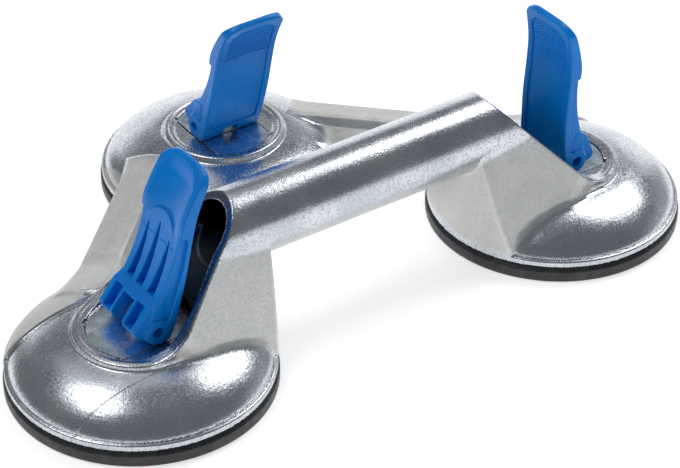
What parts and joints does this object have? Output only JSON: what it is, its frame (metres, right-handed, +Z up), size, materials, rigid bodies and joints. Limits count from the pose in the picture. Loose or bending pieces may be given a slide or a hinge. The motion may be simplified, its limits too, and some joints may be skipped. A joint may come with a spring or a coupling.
{
  "type": "three-cup vacuum lifter",
  "caption": "Triangular cast aluminium lifting handle on rubber suction cups, each with a blue plastic cam lever, for carrying floor tiles, glass and sheet.",
  "frame": {"origin": "middle of the footprint, on the plane the three cups stand on", "axes": "+Z up, +X along the handle, +Y from the handle to the rear cup"},
  "size_m": [0.3468, 0.231, 0.1111],
  "materials": {
    "cast_aluminium": "tumbled and half polished casting, fine dark speckle",
    "black_rubber": "smooth matt moulded rubber",
    "steel": "zinc plated, satin",
    "pin_steel": "ground",
    "spring_steel": "drawn wire",
    "zinc_plate": "bright zinc plated sheet",
    "blue_plastic": "injection moulded, satin to gloss"
  },
  "bodies": {
    "frame": {"body_casting": "cast_aluminium", "rubber_pad_a": "black_rubber", "wear_plate_a": "zinc_plate", "release_spring_a": "spring_steel", "rubber_pad_b": "black_rubber", "wear_plate_b": "zinc_plate", "release_spring_b": "spring_steel", "rubber_pad_c": "black_rubber", "wear_plate_c": "zinc_plate", "release_spring_c": "spring_steel"},
    "stud_a": {"backing_plate_a": "steel", "centre_stud_a": "steel", "pivot_pin_a": "pin_steel"},
    "lever_a": {"lever_a": "blue_plastic"},
    "stud_b": {"backing_plate_b": "steel", "centre_stud_b": "steel", "pivot_pin_b": "pin_steel"},
    "lever_b": {"lever_b": "blue_plastic"},
    "stud_c": {"backing_plate_c": "steel", "centre_stud_c": "steel", "pivot_pin_c": "pin_steel"},
    "lever_c": {"lever_c": "blue_plastic"}
  },
  "joints": [
    {"name": "lift_a", "type": "slide", "parent": "frame", "child": "stud_a", "axis": [0, 0, 1], "range_m": [-0.0001, 0.0051], "deforming": ["release_spring_a", "rubber_pad_a"]},
    {"name": "throw_a", "type": "hinge", "parent": "stud_a", "child": "lever_a", "pos_m": [-0.1134, -0.0555, 0.0343], "axis": [0, -1, 0], "range_deg": [-2.5, 98.5]},
    {"name": "lift_b", "type": "slide", "parent": "frame", "child": "stud_b", "axis": [0, 0, 1], "range_m": [0, 0.0052], "deforming": ["release_spring_b", "rubber_pad_b"]},
    {"name": "throw_b", "type": "hinge", "parent": "stud_b", "child": "lever_b", "pos_m": [0, 0.0555, 0.0342], "axis": [-1, 0, 0], "range_deg": [-0.5, 100.5]},
    {"name": "lift_c", "type": "slide", "parent": "frame", "child": "stud_c", "axis": [0, 0, 1], "range_m": [-0.00094, 0.00426], "deforming": ["release_spring_c", "rubber_pad_c"]},
    {"name": "throw_c", "type": "hinge", "parent": "stud_c", "child": "lever_c", "pos_m": [0.1134, -0.0555, 0.03514], "axis": [0, 1, 0], "range_deg": [-18.5, 82.5]}
  ],
  "couplings": [
    {"joint": "throw_a", "follows": "lift_a", "rad_per_m": 335.64},
    {"joint": "throw_b", "follows": "lift_b", "rad_per_m": 335.64},
    {"joint": "throw_c", "follows": "lift_c", "rad_per_m": 335.64}
  ]
}
